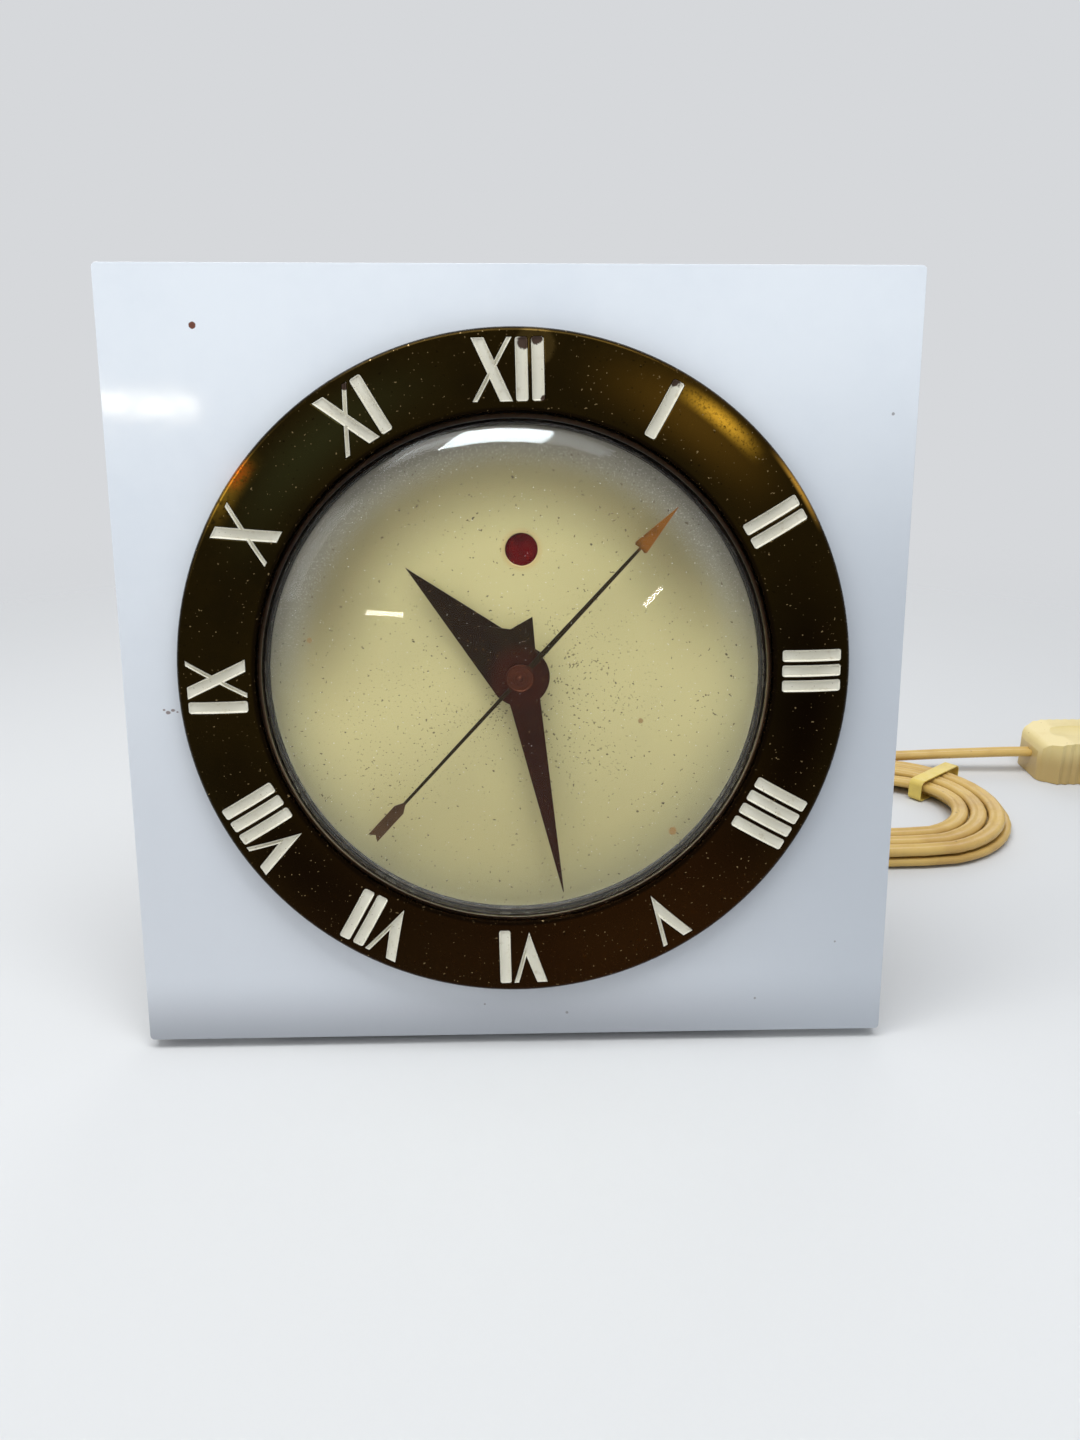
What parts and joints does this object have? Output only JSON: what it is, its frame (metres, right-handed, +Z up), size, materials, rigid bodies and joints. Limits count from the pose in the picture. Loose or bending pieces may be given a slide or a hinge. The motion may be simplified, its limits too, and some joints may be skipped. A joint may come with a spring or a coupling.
{
  "type": "electric table clock",
  "caption": "Electric table clock: square opal panel, stamped numeral ring, domed crystal, geared synchronous movement in a round housing on a bent stand, with cord and plug.",
  "frame": {"origin": "on the table, under the middle of the clock without its free cord", "axes": "+Z up, -Y out of the front, +X to the right seen from the front; the panel leans back by 8 degrees"},
  "size_m": [0.338, 0.1847, 0.1786],
  "materials": {
    "opal_panel": "polished opal white",
    "ring_brass": "polished, dark antique lacquer",
    "ivory_paint": "ivory enamel",
    "crystal_glass": "clear",
    "black_rubber": "matte",
    "dial_paint": "aged cream, satin",
    "train_brass": "satin",
    "pad_board": "cork board",
    "stand_steel": "zinc plated",
    "housing_paint": "bronze lacquer",
    "bright_steel": "bright",
    "plate_steel": "plated",
    "flag_red": "red enamel",
    "hand_bronze": "dark bronze",
    "hand_copper": "worn copper",
    "rotor_copper": "coppered",
    "core_iron": "laminated, varnished",
    "bobbin_fibre": "pressed fibre",
    "coil_tape": "varnished tape",
    "lead_sleeve": "sleeved",
    "knob_plastic": "moulded ivory",
    "cord_vinyl": "tan vinyl",
    "tie_plastic": "yellowed",
    "plug_vinyl": "cream moulded",
    "blade_brass": "plain"
  },
  "bodies": {
    "case": {"front_panel": "opal_panel", "numeral_ring": "ring_brass", "numeral_paint": "ivory_paint", "crystal": "crystal_glass", "crystal_gasket": "black_rubber", "dial": "dial_paint", "dial_feet": "train_brass", "ring_studs": "train_brass", "panel_pad": "pad_board", "stand": "stand_steel", "rubber_feet": "black_rubber", "housing": "housing_paint", "rear_cover": "housing_paint", "cover_screws": "bright_steel", "stud_nuts": "bright_steel", "stud_washers": "bright_steel", "mounting_plate": "plate_steel", "back_plate": "train_brass", "pillars": "train_brass", "pillar_screws": "bright_steel", "motion_stud": "bright_steel", "flag_stud": "bright_steel", "rotor_can": "rotor_copper", "field_core": "core_iron", "core_posts": "bright_steel", "coil_bobbin": "bobbin_fibre", "field_coil": "coil_tape", "coil_leads": "lead_sleeve", "strain_relief": "cord_vinyl", "cord_lead": "cord_vinyl", "cord_coil": "cord_vinyl", "cord_tail": "cord_vinyl", "cord_tie": "tie_plastic", "plug_body": "plug_vinyl", "plug_blades": "blade_brass"},
    "seconds": {"second_arbor": "bright_steel", "second_wheel": "train_brass", "second_hand": "hand_copper"},
    "rotor": {"rotor_pinion": "bright_steel"},
    "third": {"third_arbor": "bright_steel", "third_wheel": "train_brass"},
    "clutch": {"clutch_wheel": "train_brass"},
    "minutes": {"minute_arbor": "bright_steel", "clutch_spring": "bright_steel", "clutch_collar": "bright_steel", "minute_hand": "hand_bronze"},
    "motion": {"motion_wheel": "train_brass"},
    "hours": {"hour_wheel": "train_brass", "hour_hand": "hand_bronze"},
    "setting": {"set_arbor": "bright_steel", "set_knob": "knob_plastic"},
    "indicator": {"indicator_flag": "flag_red"}
  },
  "joints": [
    {"name": "second_spin", "type": "hinge", "parent": "case", "child": "seconds", "pos_m": [0.0009, -0.01387, 0.08954], "axis": [0, 0.9903, -0.1392], "continuous": true},
    {"name": "rotor_spin", "type": "hinge", "parent": "case", "child": "rotor", "pos_m": [0.0009, -0.01147, 0.10662], "axis": [0, 0.9903, -0.1392], "continuous": true},
    {"name": "third_spin", "type": "hinge", "parent": "case", "child": "third", "pos_m": [-0.0171, -0.01387, 0.08954], "axis": [0, 0.9903, -0.1392], "continuous": true},
    {"name": "clutch_spin", "type": "hinge", "parent": "case", "child": "clutch", "pos_m": [0.0009, -0.01387, 0.08954], "axis": [0, 0.9903, -0.1392], "continuous": true},
    {"name": "minute_spin", "type": "hinge", "parent": "case", "child": "minutes", "pos_m": [0.0009, -0.01387, 0.08954], "axis": [0, 0.9903, -0.1392], "continuous": true},
    {"name": "motion_spin", "type": "hinge", "parent": "case", "child": "motion", "pos_m": [0.0009, -0.01554, 0.07766], "axis": [0, 0.9903, -0.1392], "continuous": true},
    {"name": "hour_spin", "type": "hinge", "parent": "case", "child": "hours", "pos_m": [0.0009, -0.01387, 0.08954], "axis": [0, 0.9903, -0.1392], "continuous": true},
    {"name": "set_spin", "type": "hinge", "parent": "case", "child": "setting", "pos_m": [0.0009, -0.01721, 0.06577], "axis": [0, 0.9903, -0.1392], "continuous": true},
    {"name": "indicator_swing", "type": "hinge", "parent": "case", "child": "indicator", "pos_m": [0.0169, -0.01111, 0.10915], "axis": [0, 0.9903, -0.1392], "range_deg": [0, 24]}
  ],
  "couplings": [
    {"joint": "rotor_spin", "follows": "second_spin", "ratio": -3.6},
    {"joint": "third_spin", "follows": "second_spin", "ratio": -0.125},
    {"joint": "clutch_spin", "follows": "second_spin", "ratio": 0.016667},
    {"joint": "motion_spin", "follows": "minute_spin", "ratio": -0.33333},
    {"joint": "hour_spin", "follows": "minute_spin", "ratio": 0.083333},
    {"joint": "set_spin", "follows": "minute_spin", "ratio": 1}
  ]
}
